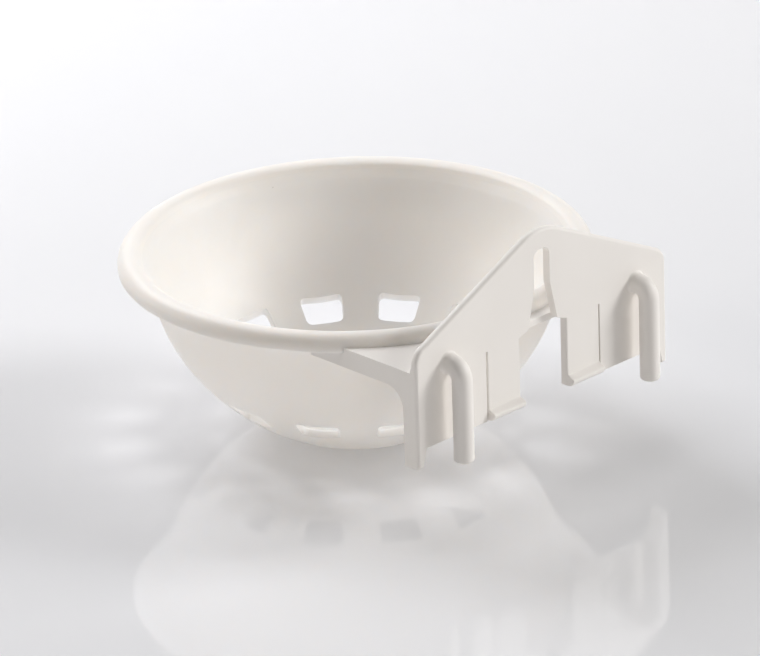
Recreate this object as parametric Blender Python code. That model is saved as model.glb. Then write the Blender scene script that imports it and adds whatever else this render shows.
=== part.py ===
"""Bird nest pan: a slotted breeding bowl with a hook-on bracket for cage wires.

Metres, +Z up. The bowl stands on its base at z = 0 with its axis on the Z axis.
The bracket faces +Y, which is the side that hangs on the cage.
"""
import math

import bmesh
import bpy
from mathutils import Matrix, Vector

MM = 0.001

# bowl
RIM_RADIUS = 55.0 * MM
RIM_LEVEL = 42.4 * MM
BASE_RADIUS = 16.0 * MM
WALL = 1.6 * MM
FLOOR = 1.8 * MM
RIM_OVERHANG = 7.4 * MM
NECK_RADIUS = RIM_RADIUS - RIM_OVERHANG
NECK_FLARE = 2.1 * MM
BOWL_FULLNESS = 2.03
BOWL_TURN = 1.295
SEGMENTS = 72

# rolled rim
LIP_WIDTH = 5.9 * MM
LIP_HEIGHT = 4.8 * MM
LIP_SKIRT = 1.9 * MM
NECK_DROP = 1.0 * MM

# vent slots round the lower wall
SLOT_COUNT = 12
SLOT_LEVEL = 12.2 * MM
SLOT_WIDTH = 9.6 * MM
SLOT_HEIGHT = 6.0 * MM
SLOT_CORNER = 1.2 * MM
SLOT_DRAFT = math.radians(18.0)

# bracket plate
PLATE_STANDOFF = 5.1 * MM
PLATE_FRONT = RIM_RADIUS + PLATE_STANDOFF
PLATE_THICK = 2.0 * MM
PLATE_INSET = 14.6 * MM
PLATE_HALF = RIM_RADIUS - PLATE_INSET
PLATE_BOTTOM = 23.6 * MM
SHOULDER_LEVEL = 46.6 * MM
GABLE_SLOPE = 0.482
APEX_ROUND = 13.0 * MM
SHOULDER_ROUND = 5.6 * MM
EDGE_ROUND = 0.8 * MM

# opening in the plate
SLIT_HALF = 2.5 * MM
SLIT_TOP = 59.9 * MM
FLARE_TOP = 50.9 * MM
FLARE_HALF = 4.6 * MM

# spring tongues
TONGUE_INNER = 7.6 * MM
TONGUE_WIDTH = 10.0 * MM
TONGUE_SLIT = 0.8 * MM
BEAD_PROUD = 1.9 * MM
BEAD_HEIGHT = 3.6 * MM

# shelf and side gussets
SHELF_TOP = 42.1 * MM
SHELF_THICK = 1.6 * MM
GUSSET_THICK = 2.6 * MM
GUSSET_DEPTH = 4.8 * MM
POST_DEPTH = 4.6 * MM
POST_BOTTOM = 18.9 * MM
GUSSET_ROUND = 5.0 * MM

# hook rods
HOOK_RADIUS = 2.35 * MM
HOOK_INSET = 10.15 * MM
HOOK_OFFSET = PLATE_HALF - HOOK_INSET
HOOK_REACH = 4.2 * MM
HOOK_TOP = 44.3 * MM
HOOK_STRAIGHT = 1.0 * MM
HOOK_ROOT = 1.25
HOOK_BOTTOM = 18.9 * MM

GAP = 0.3 * MM


def start_empty():
    for obj in list(bpy.data.objects):
        bpy.data.objects.remove(obj, do_unlink=True)


def plastic(name, tint):
    mat = bpy.data.materials.new(name)
    mat.use_nodes = True
    shader = mat.node_tree.nodes["Principled BSDF"]
    shader.inputs["Base Color"].default_value = (tint, tint * 0.975, tint * 0.945, 1.0)
    shader.inputs["Roughness"].default_value = 0.34
    shader.inputs["Metallic"].default_value = 0.0
    return mat


def to_object(bm, name, tint=0.84):
    bmesh.ops.remove_doubles(bm, verts=bm.verts, dist=1e-7)
    bmesh.ops.recalc_face_normals(bm, faces=bm.faces)
    mesh = bpy.data.meshes.new(name)
    bm.to_mesh(mesh)
    bm.free()
    obj = bpy.data.objects.new(name, mesh)
    bpy.context.scene.collection.objects.link(obj)
    mesh.materials.append(plastic(name + "_plastic", tint))
    return obj


def revolve(points, name, closed):
    bm = bmesh.new()
    verts = [bm.verts.new((r, 0.0, z)) for r, z in points]
    edges = [bm.edges.new(pair) for pair in zip(verts, verts[1:])]
    if closed:
        edges.append(bm.edges.new((verts[-1], verts[0])))
    bmesh.ops.spin(
        bm,
        geom=verts + edges,
        cent=(0.0, 0.0, 0.0),
        axis=(0.0, 0.0, 1.0),
        dvec=(0.0, 0.0, 0.0),
        angle=math.tau,
        steps=SEGMENTS,
        use_merge=True,
        use_duplicate=False,
    )
    return to_object(bm, name)


def extrude_outline(outline, place, depth, name):
    """Close a flat outline and push it through by a depth vector."""
    bm = bmesh.new()
    face = bm.faces.new([bm.verts.new(place(a, b)) for a, b in outline])
    grown = bmesh.ops.extrude_face_region(bm, geom=[face])
    moved = [v for v in grown["geom"] if isinstance(v, bmesh.types.BMVert)]
    bmesh.ops.translate(bm, verts=moved, vec=depth)
    return to_object(bm, name)


def cut(obj, cutter):
    cutter.hide_render = True
    cutter.display_type = 'WIRE'
    mod = obj.modifiers.new(cutter.name, 'BOOLEAN')
    mod.operation = 'DIFFERENCE'
    mod.solver = 'EXACT'
    mod.object = cutter


def round_corner(before, corner, after, radius, steps):
    """Points of a fillet that replaces one corner of an outline."""
    corner = Vector(corner)
    one = (Vector(before) - corner).normalized()
    two = (Vector(after) - corner).normalized()
    half = one.angle(two) / 2.0
    centre = corner + (one + two).normalized() * (radius / math.sin(half))
    first = corner + one * (radius / math.tan(half)) - centre
    last = corner + two * (radius / math.tan(half)) - centre
    sweep = first.angle_signed(last)
    points = []
    for k in range(steps + 1):
        turn = Matrix.Rotation(-sweep * k / steps, 2)
        points.append(tuple(centre + turn @ first))
    return points


def soften(outline, radii, steps=5):
    count = len(outline)
    result = []
    for k, corner in enumerate(outline):
        radius = radii.get(k, 0.0)
        if radius > 0.0:
            result += round_corner(outline[k - 1], corner, outline[(k + 1) % count], radius, steps)
        else:
            result.append(tuple(corner))
    return result


def wall_radius(z):
    """Outer radius of the bowl at a height above the base."""
    top = RIM_LEVEL - 2.0 * MM
    t = min(max(z / top, 0.0), 1.0)
    body = BASE_RADIUS + (NECK_RADIUS - BASE_RADIUS) * (1.0 - (1.0 - t) ** BOWL_FULLNESS) ** (1.0 / BOWL_TURN)
    rise = max(0.0, (z - 0.72 * RIM_LEVEL) / (0.257 * RIM_LEVEL))
    return body + NECK_FLARE * rise ** 2.3


def wall_points(inset):
    """Wall profile from base to neck, pushed inwards by an inset."""
    top = RIM_LEVEL - NECK_DROP
    count = 18
    points = []
    for k in range(count + 1):
        z = top * (k / count) ** 1.45
        step = 0.02 * MM
        slope = (wall_radius(z + step) - wall_radius(z)) / step
        lean = math.hypot(1.0, slope)
        points.append((wall_radius(z) - inset / lean, z + inset * slope / lean))
    return points


start_empty()

# bowl: thin shell with a flat base and a ring of vent slots
NECK_LEVEL = RIM_LEVEL - NECK_DROP
NECK_OUTER = wall_radius(NECK_LEVEL)
NECK_INNER = NECK_OUTER - WALL * 1.22
outer = wall_points(0.0)
inner = [p for p in wall_points(WALL) if FLOOR + 0.3 * MM < p[1] < NECK_LEVEL - 1.0 * MM]
(low_r, low_z), (next_r, next_z) = inner[:2]
floor_radius = low_r - (low_z - FLOOR) * (next_r - low_r) / (next_z - low_z)
profile = [(0.0, 0.0)] + outer + [(NECK_INNER, NECK_LEVEL)] + inner[::-1]
profile += [(floor_radius, FLOOR), (0.0, FLOOR)]
bowl = revolve(profile, "bowl", False)

slope = (wall_radius(SLOT_LEVEL + MM) - wall_radius(SLOT_LEVEL - MM)) / (2.0 * MM)
lean = math.hypot(1.0, slope)
up_slot = Vector((math.cos(SLOT_DRAFT), 0.0, math.sin(SLOT_DRAFT)))
through = Vector((math.sin(SLOT_DRAFT), 0.0, -math.cos(SLOT_DRAFT)))
middle = Vector((wall_radius(SLOT_LEVEL) - 0.5 * WALL / lean, 0.0, SLOT_LEVEL + 0.5 * WALL * slope / lean))
taper = 0.5 * SLOT_HEIGHT * up_slot.x * SLOT_WIDTH / middle.x
window = [
    (-SLOT_WIDTH / 2.0 + taper / 2.0, -SLOT_HEIGHT / 2.0),
    (SLOT_WIDTH / 2.0 - taper / 2.0, -SLOT_HEIGHT / 2.0),
    (SLOT_WIDTH / 2.0 + taper / 2.0, SLOT_HEIGHT / 2.0),
    (-SLOT_WIDTH / 2.0 - taper / 2.0, SLOT_HEIGHT / 2.0),
]
window = soften(window, {k: SLOT_CORNER for k in range(4)}, 3)
slots = bmesh.new()
for k in range(SLOT_COUNT):
    spin = Matrix.Rotation(math.tau * k / SLOT_COUNT, 3, 'Z')
    near = [spin @ (middle + Vector((0.0, a, 0.0)) + up_slot * b - through * 3.0 * WALL) for a, b in window]
    face = slots.faces.new([slots.verts.new(v) for v in near])
    grown = bmesh.ops.extrude_face_region(slots, geom=[face])
    moved = [v for v in grown["geom"] if isinstance(v, bmesh.types.BMVert)]
    bmesh.ops.translate(slots, verts=moved, vec=(spin @ through) * 6.0 * WALL)
cut(bowl, to_object(slots, "slot_cutter"))

# rim: rolled lip that sits on the neck of the bowl
lip_mid = RIM_RADIUS - LIP_WIDTH / 2.0
lip = [(NECK_INNER, NECK_LEVEL)]
for degrees in (150, 130, 110, 90, 66, 42, 20, 0, -20, -40, -60):
    angle = math.radians(degrees)
    lip.append((lip_mid + LIP_WIDTH / 2.0 * math.cos(angle), RIM_LEVEL + LIP_HEIGHT / 2.0 * math.sin(angle)))
skirt_low = lip[-1]
lip.append((skirt_low[0] - LIP_SKIRT * 0.45, RIM_LEVEL - LIP_HEIGHT / 2.0))
lip.append((skirt_low[0] - LIP_SKIRT, skirt_low[1]))
lip.append((skirt_low[0] - LIP_SKIRT - 0.3 * MM, NECK_LEVEL))
lip.append((NECK_OUTER, NECK_LEVEL))
rim = revolve(lip, "rim", True)

# space that the bowl and rim take up, used to trim the bracket against them
keep = [(0.0, 1.0 * MM)]
for r, z in wall_points(-GAP):
    if 1.0 * MM < z < RIM_LEVEL - LIP_HEIGHT / 2.0 - GAP:
        keep.append((r, z))
under_rim = RIM_LEVEL - LIP_HEIGHT / 2.0 - GAP
keep.append((wall_radius(under_rim) + GAP, under_rim))
keep.append((RIM_RADIUS + GAP, under_rim))
keep.append((RIM_RADIUS + GAP, RIM_LEVEL + LIP_HEIGHT))
keep.append((0.0, RIM_LEVEL + LIP_HEIGHT))
bowl_space = revolve(keep, "bowl_space", False)

# shelf: flat web between rim and plate
PLATE_BACK = PLATE_FRONT - PLATE_THICK
SHELF_LOW = SHELF_TOP - SHELF_THICK
shelf_half = PLATE_HALF - GUSSET_THICK
shelf_rear = 0.5 * RIM_RADIUS
shelf = extrude_outline(
    [(-shelf_half, shelf_rear), (shelf_half, shelf_rear), (shelf_half, PLATE_BACK), (-shelf_half, PLATE_BACK)],
    lambda a, b: (a, b, SHELF_LOW),
    (0.0, 0.0, SHELF_THICK),
    "shelf",
)
cut(shelf, bowl_space)

# hanger plate: gabled sheet with a flared slot and room for two tongues
GABLE_TOP = SHOULDER_LEVEL + GABLE_SLOPE * PLATE_HALF
TONGUE_ROOT = SHELF_LOW
window_half = TONGUE_INNER + TONGUE_WIDTH + TONGUE_SLIT
outline = [
    (PLATE_HALF, PLATE_BOTTOM),
    (PLATE_HALF, SHOULDER_LEVEL),
    (0.0, GABLE_TOP),
    (-PLATE_HALF, SHOULDER_LEVEL),
    (-PLATE_HALF, PLATE_BOTTOM),
    (-window_half, PLATE_BOTTOM),
    (-window_half, TONGUE_ROOT),
    (-TONGUE_INNER, TONGUE_ROOT),
    (-FLARE_HALF, TONGUE_ROOT + 1.2 * MM),
    (-SLIT_HALF, FLARE_TOP),
    (-SLIT_HALF, SLIT_TOP),
    (SLIT_HALF, SLIT_TOP),
    (SLIT_HALF, FLARE_TOP),
    (FLARE_HALF, TONGUE_ROOT + 1.2 * MM),
    (TONGUE_INNER, TONGUE_ROOT),
    (window_half, TONGUE_ROOT),
    (window_half, PLATE_BOTTOM),
]
rounds = {1: SHOULDER_ROUND, 2: APEX_ROUND, 3: SHOULDER_ROUND}
rounds.update({10: SLIT_HALF * 0.8, 11: SLIT_HALF * 0.8, 8: 0.8 * MM, 13: 0.8 * MM})
sheet = bmesh.new()
ring = [sheet.verts.new((a, PLATE_BACK, b)) for a, b in soften(outline, rounds, 6)]
face = sheet.faces.new(ring)
grown = bmesh.ops.extrude_face_region(sheet, geom=[face])
front = [v for v in grown["geom"] if isinstance(v, bmesh.types.BMVert)]
bmesh.ops.translate(sheet, verts=front, vec=(0.0, PLATE_THICK, 0.0))
edge_loop = []
for edge in sheet.edges:
    ends = edge.verts
    facing = all(v.co.y > PLATE_FRONT - 1e-6 for v in ends)
    spread = max(abs(v.co.x) for v in ends)
    rising = min(v.co.z for v in ends) > SHOULDER_LEVEL - SHOULDER_ROUND
    on_side = spread > PLATE_HALF - 1e-6
    on_gable = rising and min(v.co.z for v in ends) > GABLE_TOP - GABLE_SLOPE * spread - APEX_ROUND * 0.2
    if facing and (on_side or on_gable):
        edge_loop.append(edge)
bmesh.ops.bevel(sheet, geom=edge_loop, offset=EDGE_ROUND, segments=2, affect='EDGES', profile=0.5)
plate = to_object(sheet, "hanger_plate")

# side gussets: ribs under the shelf that turn down into the posts behind the plate
rib_low = SHELF_TOP - GUSSET_DEPTH
post_rear = PLATE_FRONT - POST_DEPTH
rib = [
    (0.2 * RIM_RADIUS, rib_low),
    (post_rear, rib_low),
    (post_rear + 0.15 * MM, POST_BOTTOM),
    (PLATE_FRONT, POST_BOTTOM),
    (PLATE_FRONT, PLATE_BOTTOM),
    (PLATE_BACK, PLATE_BOTTOM),
    (PLATE_BACK, SHELF_TOP),
    (0.2 * RIM_RADIUS, SHELF_TOP),
]
rib = soften(rib, {1: GUSSET_ROUND, 2: 0.6 * MM, 3: 0.6 * MM}, 6)
for side, name in ((1.0, "left_gusset"), (-1.0, "right_gusset")):
    face_at = side * PLATE_HALF
    gusset = extrude_outline(
        rib,
        lambda a, b: (face_at, a, b),
        (-side * GUSSET_THICK, 0.0, 0.0),
        name,
    )
    cut(gusset, bowl_space)

# hooks: round rods that leave the plate, bend over and hang down in front of it
HOOK_BEND = HOOK_REACH - HOOK_STRAIGHT
bend_front = PLATE_FRONT + HOOK_STRAIGHT
bend_level = HOOK_TOP - HOOK_RADIUS - HOOK_BEND
path = [(PLATE_FRONT, HOOK_TOP - HOOK_RADIUS, 90.0, HOOK_ROOT)]
path.append((PLATE_FRONT + 0.3 * HOOK_STRAIGHT, HOOK_TOP - HOOK_RADIUS, 90.0, 0.7 + 0.3 * HOOK_ROOT))
path.append((bend_front, HOOK_TOP - HOOK_RADIUS, 90.0, 1.0))
for k in range(1, 7):
    turn = 15.0 * k
    a = math.radians(turn)
    path.append((bend_front + HOOK_BEND * math.sin(a), bend_level + HOOK_BEND * math.cos(a), 90.0 - turn, 1.0))
path.append((PLATE_FRONT + HOOK_REACH, HOOK_BOTTOM + HOOK_RADIUS * 0.5, 0.0, 1.0))
for k in (30.0, 55.0, 75.0):
    a = math.radians(k)
    path.append((PLATE_FRONT + HOOK_REACH, HOOK_BOTTOM + HOOK_RADIUS * 0.5 * (1.0 - math.sin(a)), 0.0, math.cos(a)))
for side, name in ((1.0, "left_hook"), (-1.0, "right_hook")):
    rod = bmesh.new()
    rings = []
    for y, z, tilt, size in path:
        across = Vector((0.0, math.cos(math.radians(tilt)), math.sin(math.radians(tilt))))
        loop = []
        for k in range(16):
            a = math.tau * k / 16
            spot = Vector((side * HOOK_OFFSET, y, z))
            spot += Vector((1.0, 0.0, 0.0)) * HOOK_RADIUS * size * math.cos(a)
            spot += across * HOOK_RADIUS * size * math.sin(a)
            loop.append(rod.verts.new(spot))
        rings.append(loop)
    for one, two in zip(rings, rings[1:]):
        for k in range(16):
            rod.faces.new((one[k], one[(k + 1) % 16], two[(k + 1) % 16], two[k]))
    rod.faces.new(rings[0])
    rod.faces.new(rings[-1])
    to_object(rod, name)

# spring tongues: thin fingers under the shelf, each with a bead across its tip
bead_mid = PLATE_BOTTOM + BEAD_HEIGHT / 2.0
tongue_top = TONGUE_ROOT - GAP
side_view = [(PLATE_BACK, PLATE_BOTTOM), (PLATE_BACK, tongue_top), (PLATE_FRONT, tongue_top)]
for k in range(9):
    a = math.radians(90.0 - 20.0 * k)
    side_view.append((PLATE_FRONT + BEAD_PROUD * math.cos(a), bead_mid + BEAD_HEIGHT / 2.0 * math.sin(a)))
side_view.append((PLATE_FRONT - 0.3 * MM, PLATE_BOTTOM))
for side, name in ((1.0, "left_spring_tongue"), (-1.0, "right_spring_tongue")):
    pivot = Vector((side * (TONGUE_INNER + TONGUE_WIDTH / 2.0), PLATE_FRONT - PLATE_THICK / 2.0, TONGUE_ROOT - GAP / 2.0))
    tongue = extrude_outline(
        side_view,
        lambda a, b: (side * TONGUE_INNER - pivot.x, a - pivot.y, b - pivot.z),
        (side * TONGUE_WIDTH, 0.0, 0.0),
        name,
    )
    tongue.location = pivot
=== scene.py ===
"""Looks of a bird nest pan: a slotted white bowl with a hook-on bracket, on a pale studio floor."""
import math

import bpy
from mathutils import Matrix, Vector


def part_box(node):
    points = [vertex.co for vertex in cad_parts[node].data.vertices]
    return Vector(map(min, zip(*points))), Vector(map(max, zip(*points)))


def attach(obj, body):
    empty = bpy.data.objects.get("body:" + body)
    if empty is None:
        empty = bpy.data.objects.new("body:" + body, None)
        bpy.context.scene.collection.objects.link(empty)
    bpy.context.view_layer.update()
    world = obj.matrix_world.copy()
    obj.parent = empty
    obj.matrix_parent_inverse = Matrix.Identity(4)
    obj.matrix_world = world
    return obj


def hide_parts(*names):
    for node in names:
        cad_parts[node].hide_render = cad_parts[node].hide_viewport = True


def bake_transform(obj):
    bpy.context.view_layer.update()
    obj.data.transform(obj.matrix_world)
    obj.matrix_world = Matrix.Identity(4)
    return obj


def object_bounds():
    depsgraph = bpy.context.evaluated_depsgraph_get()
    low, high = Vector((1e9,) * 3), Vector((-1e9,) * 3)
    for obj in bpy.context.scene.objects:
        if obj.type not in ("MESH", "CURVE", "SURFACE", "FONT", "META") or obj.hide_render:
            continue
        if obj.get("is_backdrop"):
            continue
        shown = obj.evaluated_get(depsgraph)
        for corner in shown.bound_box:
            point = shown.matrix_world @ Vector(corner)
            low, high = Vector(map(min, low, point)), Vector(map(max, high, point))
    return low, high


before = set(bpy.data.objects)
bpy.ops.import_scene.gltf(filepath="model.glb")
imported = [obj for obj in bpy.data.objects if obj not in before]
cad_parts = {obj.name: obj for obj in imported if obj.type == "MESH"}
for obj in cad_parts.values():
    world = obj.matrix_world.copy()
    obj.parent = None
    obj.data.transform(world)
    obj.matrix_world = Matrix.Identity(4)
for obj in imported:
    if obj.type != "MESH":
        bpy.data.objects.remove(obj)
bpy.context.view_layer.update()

# Nest bowl. A thin round shell with a flat base, whose wall opens out at the neck and rolls over
# into a lip. It is one injection moulding in slightly warm white polypropylene with a fine mould
# skin, and lets light through. It is shaped ring by ring: up the outside, over, down the inside.
MM = 0.001
rim_low, rim_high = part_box("rim")
neck_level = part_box("bowl")[1].z
rim_radius = rim_high.x
rim_level = (rim_low.z + rim_high.z) / 2.0
mouth_level = rim_level - 2.0 * MM
neck_radius = rim_radius - 7.4 * MM
neck_flare = 2.1 * MM
neck_flare_low = 0.72 * rim_level
neck_flare_height = 0.257 * rim_level
neck_flare_power = 2.3
belly_power = 2.03
belly_root = 1.295
base_radius = 16.0 * MM
wall = 1.6 * MM
wall_foot = 0.3 * MM
wall_rise = neck_level - 1.8 * MM
inner_top_level = neck_level - 1.0 * MM
floor_thick = 1.8 * MM
lip_half = 2.95 * MM
lip_mid = rim_radius - lip_half
lip_rise = rim_high.z - rim_level
lip_sink = 0.7 * MM
lip_degrees = range(-12, 142, 9)
skirt_angle = math.radians(60.0)
crease_angle = math.radians(150.0)
round_points = 192
outer_steps = 40
inner_steps = 42
crease_steps = 4
step_crowding = 1.3
# Small turns of the profile, as steps outwards and upwards in millimetres.
foot_edge = ((-0.6, 0.0), (0.0, 0.04), (0.7, 0.14))
neck_step = ((-0.45, -0.75), (0.05, -0.25), (0.6, 0.0))
lip_hollow = ((-2.5, 0.0), (-2.15, -0.25))
crease_edge = ((0.12, 0.05), (-0.30, -0.42))
floor_edge = ((-0.8, 0.12), (-1.8, 0.02), (-3.0, 0.0))
resin_dark, resin_light = (0.872, 0.846, 0.816, 1.0), (0.894, 0.869, 0.842, 1.0)
# Painted light: the lip is the wall's plastic, but its tone is set lighter and warmer than the
# wall's so that it renders brighter. The bracket copies it.
lip_painted_bright_low, lip_painted_bright_high = (0.905, 0.874, 0.838, 1.0), (0.925, 0.895, 0.860, 1.0)
speck_colour = (0.52, 0.47, 0.42, 1.0)
WHITE, BLACK = (1.0, 1.0, 1.0, 1.0), (0.0, 0.0, 0.0, 1.0)


def outer_radius(z):
    t = min(max(z / mouth_level, 0.0), 1.0)
    rise = max(0.0, (z - neck_flare_low) / neck_flare_height)
    belly = (1.0 - (1.0 - t) ** belly_power) ** (1.0 / belly_root)
    body = base_radius + (neck_radius - base_radius) * belly
    return body + neck_flare * rise ** neck_flare_power


def wall_point(z, inset):
    step = 0.02 * MM
    slope = (outer_radius(z + step) - outer_radius(z)) / step
    lean = math.hypot(1.0, slope)
    return outer_radius(z) - inset / lean, z + inset * slope / lean


def turn_points(start, turn):
    return [(start[0] + out * MM, start[1] + up * MM) for out, up in turn]


def draw_out(move, stretch, centre):
    bpy.ops.mesh.extrude_region_move(TRANSFORM_OT_translate={"value": move})
    bpy.ops.transform.resize(value=stretch, center_override=centre)


rings = [(0.35 * base_radius, 0.0), (0.7 * base_radius, 0.0)]
rings += turn_points((base_radius, 0.0), foot_edge)
for k in range(outer_steps + 1):
    rings.append(wall_point(wall_foot + wall_rise * (k / outer_steps) ** step_crowding, 0.0))
rings += turn_points((outer_radius(neck_level), neck_level), neck_step)
skirt = lip_mid + lip_half * math.cos(skirt_angle)
rings += turn_points((skirt, neck_level), lip_hollow)
rings.append((skirt - 1.9 * MM, rim_level - 0.58 * lip_rise))
rings.append((skirt + 1.1 * MM, rim_level - 0.60 * lip_rise))
for degrees in lip_degrees:
    a = math.radians(degrees)
    sink = lip_sink if degrees < 90 else 0.0
    lip_level = rim_level - sink + (lip_rise + sink) * math.sin(a)
    rings.append((lip_mid + lip_half * math.cos(a), lip_level))
crease_radius = lip_mid + lip_half * math.cos(crease_angle)
crease = (crease_radius, rim_level + lip_rise * math.sin(crease_angle))
rings += turn_points(crease, crease_edge)
inner_top = wall_point(inner_top_level, wall)
for k in range(1, crease_steps):
    share = k / crease_steps
    rings.append(tuple(c * (1.0 - share) + t * share for c, t in zip(crease, inner_top)))
for k in range(inner_steps + 1):
    point = wall_point(inner_top_level * (1.0 - k / inner_steps) ** step_crowding, wall)
    if point[1] > floor_thick + wall_foot:
        rings.append(point)
rings += turn_points((rings[-1][0], floor_thick), floor_edge)
rings += [(0.5 * base_radius, floor_thick), (0.25 * base_radius, floor_thick)]

bpy.ops.object.select_all(action='DESELECT')
bpy.ops.mesh.primitive_circle_add(
    vertices=round_points,
    radius=rings[0][0],
    fill_type='NGON',
    location=(0.0, 0.0, rings[0][1]),
)
nest_bowl = bpy.context.object
nest_bowl.name = "nest_bowl"
bpy.ops.object.mode_set(mode='EDIT')
bpy.ops.mesh.select_all(action='SELECT')
for (r0, z0), (r1, z1) in zip(rings, rings[1:]):
    draw_out((0.0, 0.0, z1 - z0), (r1 / r0, r1 / r0, 1.0), (0.0, 0.0, z1))
bpy.ops.mesh.select_all(action='SELECT')
bpy.ops.mesh.normals_make_consistent(inside=False)
bpy.ops.object.mode_set(mode='OBJECT')

plastic = bpy.data.materials.new("white_polypropylene")
plastic.use_nodes = True
nodes = plastic.node_tree.nodes
links = plastic.node_tree.links
resin = nodes["Principled BSDF"]
place = nodes.new("ShaderNodeTexCoord")


def noise(scale, detail):
    pattern = nodes.new("ShaderNodeTexNoise")
    pattern.inputs["Scale"].default_value = scale
    pattern.inputs["Detail"].default_value = detail
    links.new(place.outputs["Object"], pattern.inputs["Vector"])
    return pattern.outputs["Fac"]


def ramp(value, *stops):
    node = nodes.new("ShaderNodeValToRGB")
    for element, (position, colour) in zip(node.color_ramp.elements, stops):
        element.position = position
        element.color = colour
    links.new(value, node.inputs["Fac"])
    return node


tone = ramp(noise(scale=45.0, detail=3.0), (0.30, resin_dark), (0.70, resin_light))
speck = nodes.new("ShaderNodeTexVoronoi")
speck.inputs["Scale"].default_value = 110.0
links.new(place.outputs["Object"], speck.inputs["Vector"])
speck_spot = ramp(speck.outputs["Distance"], (0.018, WHITE), (0.034, BLACK))
speck_rare = nodes.new("ShaderNodeMath")
speck_rare.operation = 'GREATER_THAN'
speck_rare.inputs[1].default_value = 0.66
links.new(noise(scale=75.0, detail=2.0), speck_rare.inputs[0])
speck_mask = nodes.new("ShaderNodeMath")
speck_mask.operation = 'MULTIPLY'
links.new(speck_spot.outputs["Color"], speck_mask.inputs[0])
links.new(speck_rare.outputs["Value"], speck_mask.inputs[1])
speck_tint = nodes.new("ShaderNodeMix")
speck_tint.data_type = 'RGBA'
speck_tint.inputs["B"].default_value = speck_colour
links.new(speck_mask.outputs["Value"], speck_tint.inputs["Factor"])
links.new(tone.outputs["Color"], speck_tint.inputs["A"])
links.new(speck_tint.outputs["Result"], resin.inputs["Base Color"])

rub = nodes.new("ShaderNodeMapRange")
rub.inputs["From Min"].default_value = 0.25
rub.inputs["From Max"].default_value = 0.75
rub.inputs["To Min"].default_value = 0.42
rub.inputs["To Max"].default_value = 0.58
links.new(noise(scale=130.0, detail=5.0), rub.inputs["Value"])
links.new(rub.outputs["Result"], resin.inputs["Roughness"])
skin = nodes.new("ShaderNodeBump")
skin.inputs["Strength"].default_value = 0.06
skin.inputs["Distance"].default_value = 0.05 * MM
links.new(noise(scale=1400.0, detail=2.0), skin.inputs["Height"])
links.new(skin.outputs["Normal"], resin.inputs["Normal"])
resin.inputs["IOR"].default_value = 1.49
resin.inputs["Subsurface Weight"].default_value = 1.0
resin.inputs["Subsurface Radius"].default_value = (1.0, 0.92, 0.84)
resin.inputs["Subsurface Scale"].default_value = 3.0 * MM

# The lip's copy of the plastic carries painted light, a lighter and warmer tone than the wall's,
# and lets less light through.
lip_plastic = plastic.copy()
lip_plastic.name = "white_polypropylene_lip"
lip_resin = lip_plastic.node_tree.nodes[resin.name]
lip_resin.inputs["Subsurface Weight"].default_value = 0.8
lip_resin.inputs["Subsurface Scale"].default_value = 2.0 * MM
lip_painted_bright_tone = lip_plastic.node_tree.nodes[tone.name].color_ramp
lip_painted_bright_tone.elements[0].color = lip_painted_bright_low
lip_painted_bright_tone.elements[1].color = lip_painted_bright_high

# Vent slots. A ring of rounded windows low in the wall lets air and droppings through.
# The two mould halves shut on each other there, so each is a steep straight cut that shows
# the wall's thickness.
slot_level = 12.2 * MM
slot_width = 9.6 * MM
slot_height = 6.0 * MM
slot_corner = 1.2 * MM
slot_corner_steps = 5
slot_count = 12
slot_draft = math.radians(18.0)
slot_radius, slot_middle = wall_point(slot_level, 0.5 * wall)
slot_taper = 0.5 * slot_height * math.cos(slot_draft) / slot_radius
smooth_angle = math.radians(32.0)
lip_joint_level = neck_level - 0.9 * MM
lip_joint_radius = crease_radius - 0.2 * MM


def make_active(piece):
    bpy.ops.object.select_all(action='DESELECT')
    piece.select_set(True)
    bpy.context.view_layer.objects.active = piece


def new_block(name, low, high):
    bpy.ops.object.select_all(action='DESELECT')
    middle = (Vector(low) + Vector(high)) / 2.0
    size = Vector(high) - Vector(low)
    bpy.ops.mesh.primitive_cube_add(size=1.0, location=middle, scale=size)
    bpy.ops.object.transform_apply(location=True, rotation=True, scale=True)
    block = bpy.context.object
    block.name = name
    return block


def clear_choice(kind):
    bpy.ops.object.mode_set(mode='EDIT')
    bpy.ops.mesh.select_mode(type=kind)
    bpy.ops.mesh.select_all(action='DESELECT')
    bpy.ops.object.mode_set(mode='OBJECT')


def select_faces(piece, chosen):
    clear_choice('FACE')
    for face in piece.data.polygons:
        face.select = bool(chosen(face.center, face.normal))
    bpy.ops.object.mode_set(mode='EDIT')


def select_edges(piece, chosen):
    clear_choice('EDGE')
    for edge in piece.data.edges:
        one, two = (piece.data.vertices[k].co for k in edge.vertices)
        edge.select = bool(chosen(one, two))
    bpy.ops.object.mode_set(mode='EDIT')


def round_edges(piece, chosen, offset, segments):
    select_edges(piece, chosen)
    bpy.ops.mesh.bevel(offset=offset, segments=segments, affect='EDGES', clamp_overlap=True)
    bpy.ops.object.mode_set(mode='OBJECT')


def boolean(piece, other, operation):
    make_active(piece)
    cut = piece.modifiers.new("join_or_cut", 'BOOLEAN')
    cut.operation = operation
    cut.solver = 'EXACT'
    cut.object = other
    bpy.ops.object.modifier_apply(modifier=cut.name)
    bpy.data.objects.remove(other, do_unlink=True)


def smooth(piece):
    make_active(piece)
    bpy.ops.object.shade_smooth_by_angle(angle=smooth_angle)
    even = piece.modifiers.new("even_normals", 'WEIGHTED_NORMAL')
    even.keep_sharp = True
    bpy.ops.object.modifier_apply(modifier=even.name)


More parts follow.
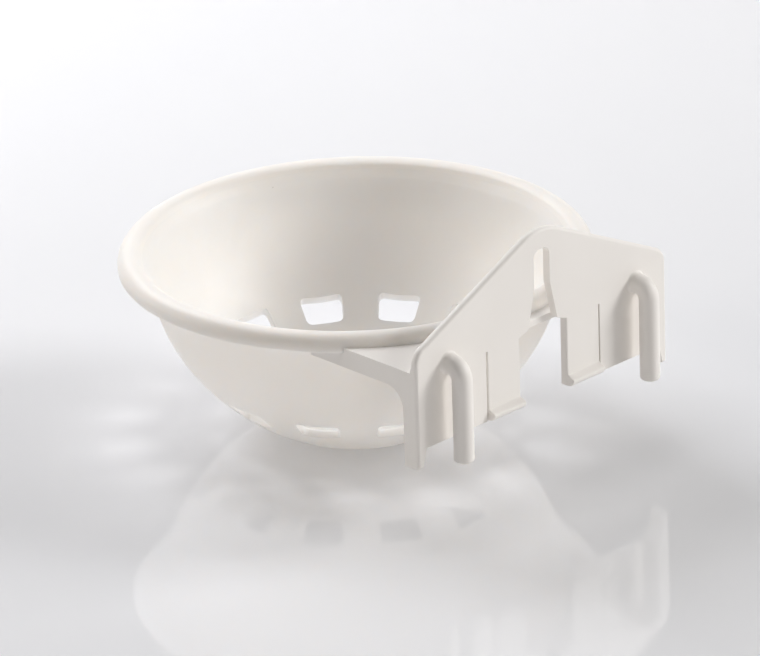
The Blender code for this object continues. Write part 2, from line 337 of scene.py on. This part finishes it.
slot_reach = Vector((6.0 * wall, slot_width, slot_height)) / 2.0
slot_cutter = new_block("slot_cutter", -slot_reach, slot_reach)
for end in (1.0, -1.0):
    select_faces(slot_cutter, lambda c, n: n.z * end > 0.9)
    wider = 1.0 + end * slot_taper
    bpy.ops.transform.resize(value=(1.0, wider, 1.0), center_override=(0.0, 0.0, 0.0))
round_edges(slot_cutter, lambda a, b: abs(a.x - b.x) > wall, slot_corner, slot_corner_steps)
slot_cutter.data.transform(Matrix.Rotation(math.radians(90.0) - slot_draft, 4, 'Y'))
slot_cutter.data.transform(Matrix.Translation((slot_radius, 0.0, slot_middle)))
slot_cutters = [slot_cutter]
for k in range(1, slot_count):
    twin = slot_cutter.copy()
    twin.data = slot_cutter.data.copy()
    twin.data.transform(Matrix.Rotation(math.tau * k / slot_count, 4, 'Z'))
    bpy.context.collection.objects.link(twin)
    slot_cutters.append(twin)
make_active(slot_cutter)
for cutter in slot_cutters:
    cutter.select_set(True)
bpy.ops.object.join()
boolean(nest_bowl, slot_cutter, 'DIFFERENCE')
smooth(nest_bowl)

nest_bowl.data.materials.append(plastic)
nest_bowl.data.materials.append(lip_plastic)
for face in nest_bowl.data.polygons:
    out = math.hypot(face.center.x, face.center.y)
    on_lip = face.center.z > lip_joint_level and out > lip_joint_radius
    face.material_index = 1 if on_lip else 0
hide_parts("bowl", "rim")
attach(nest_bowl, "pan")

# Hanger plate. A gabled sheet that lies against the cage wires, drawn down at each side into a
# post, in one moulding with the bowl. It is cut by a hanging slot that opens out downwards, and
# under the shelf by the window for the spring tongues.
plate_low, plate_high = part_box("hanger_plate")
tongue_low, tongue_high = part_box("left_spring_tongue")
shelf_low, shelf_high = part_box("shelf")
gusset_low, gusset_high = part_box("left_gusset")
hair = 0.01 * MM
gable_slope = 0.482
shoulder_level = 46.6 * MM
shoulder_round = 2.5 * MM
gable_top = shoulder_level + gable_slope * plate_high.x
apex_round = 13.0 * MM * gable_slope
root_level = shelf_low.z
window_half = tongue_high.x + 0.8 * MM
slot_half = 2.5 * MM
slot_round = 0.8 * slot_half
slot_top = 59.9 * MM
flare_top = 50.9 * MM
flare_half = 4.6 * MM
flare_low = root_level + 1.2 * MM
flare_ease = 0.35 * MM
post_taper = 1.3 * MM
plate_ease = 0.8 * MM
window_ease = 0.3 * MM
back_ease_low = shelf_high.z + 1.5 * MM


def slice_through(point, normal, trim=False):
    bpy.ops.mesh.select_all(action='SELECT')
    bpy.ops.mesh.bisect(plane_co=point, plane_no=normal, use_fill=trim, clear_outer=trim)


def near(value, target, reach=hair):
    return abs(value - target) < reach


def both_near(a, b, axis, target):
    return near(getattr(a, axis), target) and near(getattr(b, axis), target)


def across(a, b):
    return abs(a.y - b.y) > MM


def at_apex(a, b):
    return both_near(a, b, "x", 0.0) and a.z > shoulder_level and across(a, b)


def at_shoulder(a, b):
    on_edge = near(abs(a.x), plate_high.x) and near(a.x, b.x)
    return on_edge and near(a.z, shoulder_level) and across(a, b)


def in_window(v):
    post_edge = gusset_low.x + (post_taper if v.z < plate_low.z - hair else 0.0)
    inside = abs(v.x) < window_half + hair or v.z < plate_low.z + hair
    return inside and abs(v.x) < post_edge + hair and v.z < slot_top + hair


def at_window(a, b):
    return in_window(a) and in_window(b)


def on_front(a, b):
    return both_near(a, b, "y", plate_high.y)


def on_back(a, b):
    above = min(a.z, b.z) > back_ease_low - hair and a.z + b.z > 2.0 * (back_ease_low + hair)
    return both_near(a, b, "y", plate_low.y) and above


def eased_in_window(a, b):
    return on_front(a, b) and at_window(a, b) and not both_near(a, b, "z", root_level)


bracket = new_block(
    "bracket",
    (plate_low.x, plate_low.y, gusset_low.z),
    (plate_high.x, plate_high.y, gable_top + MM),
)
bpy.ops.object.mode_set(mode='EDIT')
for side in (1.0, -1.0):
    slice_through((0.0, 0.0, gable_top), (side * gable_slope, 0.0, 1.0), trim=True)
bpy.ops.object.mode_set(mode='OBJECT')
round_edges(bracket, at_apex, apex_round, 12)
round_edges(bracket, at_shoulder, shoulder_round, 9)

window = new_block(
    "window",
    (-slot_half, plate_low.y - MM, flare_top),
    (slot_half, plate_high.y + MM, slot_top),
)
round_edges(window, lambda a, b: both_near(a, b, "z", slot_top) and across(a, b), slot_round, 6)
select_faces(window, lambda c, n: n.z < -0.9)
half, level = slot_half, flare_top
for next_half, next_level in (
    (flare_half, flare_low),
    (flare_half + flare_ease, flare_low - flare_ease),
    (tongue_low.x, root_level),
    (window_half, root_level),
    (window_half, plate_low.z),
    (gusset_low.x, plate_low.z),
    (gusset_low.x + post_taper, gusset_low.z - MM),
):
    centre = (0.0, 0.0, next_level)
    draw_out((0.0, 0.0, next_level - level), (next_half / half, 1.0, 1.0), centre)
    half, level = next_half, next_level
bpy.ops.mesh.select_all(action='SELECT')
bpy.ops.mesh.normals_make_consistent(inside=False)
bpy.ops.object.mode_set(mode='OBJECT')
boolean(bracket, window, 'DIFFERENCE')
round_edges(bracket, lambda a, b: on_front(a, b) and not at_window(a, b), plate_ease, 5)
round_edges(bracket, eased_in_window, window_ease, 2)
bpy.ops.object.mode_set(mode='EDIT')
slice_through((0.0, 0.0, back_ease_low), (0.0, 0.0, 1.0))
bpy.ops.object.mode_set(mode='OBJECT')
round_edges(bracket, lambda a, b: on_back(a, b) and not at_window(a, b), plate_ease, 5)

# Shelf. A flat web that runs from the rolled rim to the back of the plate and carries the bowl's
# weight. Its round back edge is sunk in the rim, as it is in the moulding.
joint_sink = 0.6 * MM
rim_sink = 1.5 * MM
notch_side = tongue_low.x - 0.4 * MM
shelf_end = plate_low.y - 0.3 * MM
shelf_ease = 0.6 * MM
shelf = new_block(
    "shelf_web",
    (shelf_low.x - joint_sink, 0.5 * rim_radius, shelf_low.z),
    (shelf_high.x + joint_sink, plate_low.y + joint_sink, shelf_high.z),
)
bpy.ops.object.select_all(action='DESELECT')
bpy.ops.mesh.primitive_cylinder_add(
    vertices=round_points,
    radius=rim_radius - rim_sink,
    depth=rim_level,
    location=(0.0, 0.0, rim_level),
)
boolean(shelf, bpy.context.object, 'DIFFERENCE')
notch = new_block(
    "notch",
    (-notch_side, shelf_end, shelf_low.z - MM),
    (notch_side, plate_low.y + MM, shelf_high.z + MM),
)
boolean(shelf, notch, 'DIFFERENCE')


def at_shelf_end(a, b):
    return both_near(a, b, "y", shelf_end) and both_near(a, b, "z", shelf_high.z)


round_edges(shelf, at_shelf_end, shelf_ease, 4)
boolean(bracket, shelf, 'UNION')

# Gussets. A rib under each edge of the shelf stiffens it, starts on the bowl's wall below the rim
# and turns down through a fillet to back the post at the edge of the plate.
rib_low = shelf_high.z - 4.8 * MM
rib_start = 10.0 * MM
rib_middle = (gusset_low.x + gusset_high.x) / 2.0
rib_ease = 0.3 * MM
rib_fillet = 5.0 * MM
post_rear = plate_high.y - 4.6 * MM
seat_level = rib_low + 2.0 * MM
seat_lean = 0.45
seat_radius = outer_radius(seat_level) - 0.7 * wall
seat_angle = math.acos(rib_middle / seat_radius)


def select_points(piece, chosen):
    clear_choice('VERT')
    for point in piece.data.vertices:
        point.select = bool(chosen(point.co))
    bpy.ops.object.mode_set(mode='EDIT')


def at_fillet(a, b):
    return both_near(a, b, "y", post_rear) and both_near(a, b, "z", rib_low)


def under_rib(a, b):
    between = max(a.z, b.z) < rib_low + hair and min(a.z, b.z) > gusset_low.z - hair
    return between and near(a.x, b.x) and max(a.y, b.y) < plate_low.y


for side in (1.0, -1.0):
    inner_x, outer_x = side * gusset_low.x, side * gusset_high.x
    gusset = new_block(
        "gusset",
        (min(inner_x, outer_x), rib_start, rib_low),
        (max(inner_x, outer_x), plate_low.y + joint_sink, shelf_high.z),
    )
    bpy.ops.object.mode_set(mode='EDIT')
    slice_through(
        (side * rib_middle, seat_radius * math.sin(seat_angle), seat_level),
        (-side * math.cos(seat_angle), -math.sin(seat_angle), seat_lean),
        trim=True,
    )
    slice_through((0.0, post_rear, 0.0), (0.0, 1.0, 0.0))
    bpy.ops.object.mode_set(mode='OBJECT')
    select_faces(gusset, lambda c, n: n.z < -0.9 and c.y > post_rear)
    post_drop = (0.0, 0.0, gusset_low.z - rib_low)
    bpy.ops.mesh.extrude_region_move(TRANSFORM_OT_translate={"value": post_drop})
    bpy.ops.object.mode_set(mode='OBJECT')
    round_edges(gusset, at_fillet, rib_fillet, 10)
    round_edges(gusset, under_rib, rib_ease, 2)
    bpy.ops.object.mode_set(mode='EDIT')
    slice_through((0.0, 0.0, plate_low.z), (0.0, 0.0, 1.0))
    inner_reach = rib_ease + 0.05 * MM
    select_points(
        gusset,
        lambda v: near(v.z, gusset_low.z) and near(v.x, inner_x, inner_reach),
    )
    bpy.ops.transform.translate(value=(side * post_taper, 0.0, 0.0))
    bpy.ops.object.mode_set(mode='OBJECT')
    boolean(bracket, gusset, 'UNION')

# Hooks. Two round rods leave the plate, bend over and hang down in front of it, with just enough
# room behind them for a cage wire. Each swells at its root, and its end is rounded.
hook_low, hook_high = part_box("left_hook")
root_size = 1.25
root_radius = (hook_high.x - hook_low.x) / 2.0
root_sink = 1.0 * MM
# How far along the straight, and how thick there.
root_flare = ((0.0, root_size), (0.1, 1.165), (0.25, 1.09), (0.45, 1.04), (0.7, 1.012), (1.0, 1.0))
hook_radius = root_radius / root_size
hook_reach = hook_high.y - plate_high.y - hook_radius - 0.002 * MM
hook_straight = 1.0 * MM
hook_bend = hook_reach - hook_straight
hook_top = hook_high.z - root_radius
hook_points = 40
bend_steps = 16
end_round = 0.4 * hook_radius
end_flat = 0.42
end_degrees = (15.0, 30.0, 45.0, 60.0, 72.0, 82.0)
for side in (1.0, -1.0):
    hook_x = side * (hook_low.x + hook_high.x) / 2.0
    bpy.ops.object.select_all(action='DESELECT')
    bpy.ops.mesh.primitive_circle_add(
        vertices=hook_points,
        radius=root_radius,
        fill_type='NGON',
        location=(hook_x, plate_high.y - root_sink, hook_top),
        rotation=(math.radians(90.0), 0.0, 0.0),
    )
    bpy.ops.object.transform_apply(location=True, rotation=True, scale=True)
    hook = bpy.context.object
    bpy.ops.object.mode_set(mode='EDIT')
    bpy.ops.mesh.select_all(action='SELECT')
    place_y, size = plate_high.y - root_sink, root_size
    for along, next_size in root_flare:
        next_y = plate_high.y + along * hook_straight
        stretch = next_size / size
        centre = (hook_x, next_y, hook_top)
        draw_out((0.0, next_y - place_y, 0.0), (stretch, 1.0, stretch), centre)
        place_y, size = next_y, next_size
    bpy.ops.mesh.spin(
        steps=bend_steps,
        angle=math.radians(90.0),
        center=(hook_x, place_y, hook_top - hook_bend),
        axis=(1.0, 0.0, 0.0),
    )
    rod_drop = (0.0, 0.0, hook_low.z + end_round - (hook_top - hook_bend))
    bpy.ops.mesh.extrude_region_move(TRANSFORM_OT_translate={"value": rod_drop})
    level, size = hook_low.z + end_round, 1.0
    for degrees in end_degrees:
        a = math.radians(degrees)
        next_level = hook_low.z + end_round * (1.0 - math.sin(a))
        next_size = end_flat + (1.0 - end_flat) * math.cos(a)
        stretch = next_size / size
        centre = (hook_x, plate_high.y + hook_reach, next_level)
        draw_out((0.0, 0.0, next_level - level), (stretch, stretch, 1.0), centre)
        level, size = next_level, next_size
    bpy.ops.mesh.select_all(action='SELECT')
    bpy.ops.mesh.remove_doubles(threshold=0.001 * MM)
    bpy.ops.mesh.normals_make_consistent(inside=False)
    bpy.ops.object.mode_set(mode='OBJECT')
    boolean(bracket, hook, 'UNION')

# Bracket. Plate, shelf, ribs and hooks are moulded as one, so they are one skin, smoothed as one.
# It is the bowl's plastic, in places so thick that hardly any light comes through.
smooth(bracket)
# It takes the lip's copy, so it carries the same painted light: a tone lighter and warmer than the
# wall's plastic.
thick_plastic = lip_plastic.copy()
thick_plastic.name = "white_polypropylene_thick"
thick_resin = thick_plastic.node_tree.nodes[resin.name]
thick_resin.inputs["Subsurface Weight"].default_value = 0.0
bracket.data.materials.append(thick_plastic)
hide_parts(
    "hanger_plate", "shelf", "left_gusset", "right_gusset", "left_hook", "right_hook"
)
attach(bracket, "pan")

# Spring tongues. Two thin fingers of the same plastic hang from the plate under the shelf. Each
# swells out smoothly into a bead across its tip, which presses on a cage wire, and bends back
# from its root when the pan is pushed on.
bead_proud = tongue_high.y - plate_high.y
bead_low = 1.6 * MM
bead_ramp = 1.2 * MM
bead_arc_steps = 10
bead_ramp_steps = 12
finger_steps = 11
finger_ease = 0.3 * MM
left_slit_close = 0.3 * MM
right_slit_close = 0.5 * MM


def swell(rise):
    if rise < bead_low:
        return bead_proud * math.sqrt(1.0 - (1.0 - rise / bead_low) ** 2)
    return bead_proud * 0.5 * (1.0 + math.cos(math.pi * min((rise - bead_low) / bead_ramp, 1.0)))


def on_finger_edge(a, b):
    in_front = min(a.y, b.y) > plate_high.y - hair
    return in_front and near(a.x, b.x) and min(a.z, b.z) < root_level - MM


for node, body, low_close, high_close in (
    ("left_spring_tongue", "left_tongue", 0.0, left_slit_close),
    ("right_spring_tongue", "right_tongue", right_slit_close, 0.0),
):
    low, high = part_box(node)
    tongue = new_block(
        node + "_finger",
        (low.x - low_close, plate_low.y, low.z),
        (high.x + high_close, plate_high.y, root_level),
    )
    rises = []
    for k in range(1, bead_arc_steps + 1):
        rises.append(bead_low * (1.0 - math.cos(math.radians(90.0 / bead_arc_steps * k))))
    rises += [bead_low + bead_ramp * k / bead_ramp_steps for k in range(1, bead_ramp_steps + 1)]
    bead_top = rises[-1]
    finger = root_level - low.z - bead_top
    rises += [bead_top + finger * k / finger_steps for k in range(1, finger_steps)]
    bpy.ops.object.mode_set(mode='EDIT')
    for rise in rises:
        slice_through((0.0, 0.0, low.z + rise), (0.0, 0.0, 1.0))
    for rise in rises:
        if rise < bead_low + bead_ramp - hair:
            select_points(
                tongue,
                lambda v: near(v.z, low.z + rise, 0.4 * hair) and near(v.y, plate_high.y),
            )
            bpy.ops.transform.translate(value=(0.0, swell(rise), 0.0))
    bpy.ops.object.mode_set(mode='OBJECT')
    round_edges(tongue, on_finger_edge, finger_ease, 3)
    smooth(tongue)
    tongue.data.materials.append(thick_plastic)
    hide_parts(node)
    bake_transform(tongue)

# Studio. A pale polished table in a light room whose ceiling is dim, so that the table shows a
# faint reflection. Large soft lamps stand to the right and behind to the left, with weak ones
# above, to the left and low in front.
table_size = 6.0
table_level = -0.2 * MM
table_colour = (0.675, 0.685, 0.715, 1.0)
table_glow = (1.0, 0.965, 0.92, 1.0)
table_glow_strength = 0.185
bpy.ops.object.select_all(action='DESELECT')
bpy.ops.mesh.primitive_plane_add(size=table_size, location=(0.0, 0.0, table_level))
table = bpy.context.object
table.name = "table"
table_top = bpy.data.materials.new("pale_table")
table_top.use_nodes = True
sheen = table_top.node_tree.nodes["Principled BSDF"]
sheen.inputs["Base Color"].default_value = table_colour
sheen.inputs["Emission Color"].default_value = table_glow
sheen.inputs["Emission Strength"].default_value = table_glow_strength
sheen.inputs["Roughness"].default_value = 0.06
sheen.inputs["Subsurface Weight"].default_value = 1.0
sheen.inputs["Subsurface Radius"].default_value = (1.0, 1.0, 1.0)
sheen.inputs["Subsurface Scale"].default_value = 10.0 * MM
table.data.materials.append(table_top)
table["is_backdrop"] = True

room_colour = (0.985, 0.985, 1.0, 1.0)
room_light = 0.02
wall_shine, ceiling_shine = 0.72, 0.086
ceiling_start, ceiling_full = 0.35, 0.43
room = bpy.data.worlds.new("light_room")
room.use_nodes = True
room_nodes = room.node_tree.nodes
room_links = room.node_tree.links
direction = room_nodes.new("ShaderNodeTexCoord")
height = room_nodes.new("ShaderNodeSeparateXYZ")
room_links.new(direction.outputs["Generated"], height.inputs["Vector"])
shine = room_nodes.new("ShaderNodeMapRange")
shine.interpolation_type = 'SMOOTHSTEP'
shine.inputs["From Min"].default_value = ceiling_start
shine.inputs["From Max"].default_value = ceiling_full
shine.inputs["To Min"].default_value = wall_shine
shine.inputs["To Max"].default_value = ceiling_shine
room_links.new(height.outputs["Z"], shine.inputs["Value"])
ray = room_nodes.new("ShaderNodeLightPath")
seen = room_nodes.new("ShaderNodeMath")
seen.operation = 'MAXIMUM'
room_links.new(ray.outputs["Is Camera Ray"], seen.inputs[0])
room_links.new(ray.outputs["Is Glossy Ray"], seen.inputs[1])
strength = room_nodes.new("ShaderNodeMix")
strength.inputs["A"].default_value = room_light
room_links.new(seen.outputs["Value"], strength.inputs["Factor"])
room_links.new(shine.outputs["Result"], strength.inputs["B"])
room_links.new(strength.outputs["Result"], room_nodes["Background"].inputs["Strength"])
room_nodes["Background"].inputs["Color"].default_value = room_colour
bpy.context.scene.world = room

view_azimuth = math.radians(136.0)
rightwards = Vector((math.cos(view_azimuth), math.sin(view_azimuth), 0.0))
forwards = Vector((math.sin(view_azimuth), -math.cos(view_azimuth), 0.0))
overhead = Vector((0.0, 0.0, 1.0))
lamp_aim = Vector((0.0, 0.01, 0.03))


def soft_lamp(name, way, distance, width, power, colour):
    data = bpy.data.lights.new(name, 'AREA')
    data.size = width
    data.energy = power
    data.color = colour
    lamp = bpy.data.objects.new(name, data)
    bpy.context.scene.collection.objects.link(lamp)
    lamp.location = lamp_aim + way.normalized() * distance
    lamp.rotation_euler = (-way).to_track_quat('-Z', 'Y').to_euler()
    lamp.visible_camera = False


soft_lamp(
    "right_lamp",
    rightwards * 0.865 - forwards * 0.10 + overhead * 0.465,
    distance=2.4, width=0.9, power=39.6, colour=(1.0, 0.99, 0.975),
)
soft_lamp(
    "back_lamp",
    rightwards * -0.47 - forwards * 0.58 + overhead * 0.66,
    distance=0.72, width=0.42, power=3.9, colour=(0.985, 0.985, 1.0),
)
soft_lamp(
    "top_lamp",
    rightwards * -0.10 - forwards * 0.05 + overhead,
    distance=1.3, width=0.30, power=2.0, colour=(1.0, 0.99, 0.985),
)
soft_lamp(
    "left_lamp",
    rightwards * -0.90 + forwards * 0.05 + overhead * 0.42,
    distance=1.3, width=0.5, power=3.3, colour=(1.0, 0.935, 0.86),
)
soft_lamp(
    "front_lamp",
    forwards * 0.90 + rightwards * 0.30 + overhead * 0.12,
    distance=1.3, width=0.4, power=2.4, colour=(1.0, 0.94, 0.87),
)

# Camera. It looks down on the pan from in front of the bracket and to one side, at the
# photograph's angle and with the same slight tilt, through a long lens from well back.
view_elevation = math.radians(23.44)
roll = math.radians(-1.89)
shift_right = 5.64 * MM
shift_up = -17.61 * MM
eye_distance = 1614.36 * MM
frame_pixels = 760.0
focal_pixels = 7000.0
backwards = forwards * math.cos(view_elevation) + overhead * math.sin(view_elevation)
upwards = backwards.cross(rightwards)
right_axis = rightwards * math.cos(roll) + upwards * math.sin(roll)
up_axis = upwards * math.cos(roll) - rightwards * math.sin(roll)
target = Vector((0.0, 0.0, rim_level)) + right_axis * shift_right + up_axis * shift_up
camera_data = bpy.data.cameras.new("camera")
camera_data.sensor_width = 36.0
camera_data.lens = camera_data.sensor_width * focal_pixels / frame_pixels
camera_data.clip_start = 0.05
camera_data.clip_end = 50.0
camera = bpy.data.objects.new("camera", camera_data)
bpy.context.scene.collection.objects.link(camera)
camera.matrix_world = Matrix((right_axis, up_axis, backwards)).transposed().to_4x4()
camera.location = target + backwards * eye_distance
bpy.context.scene.camera = camera
bpy.context.scene.view_settings.view_transform = 'Standard'

low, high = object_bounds()
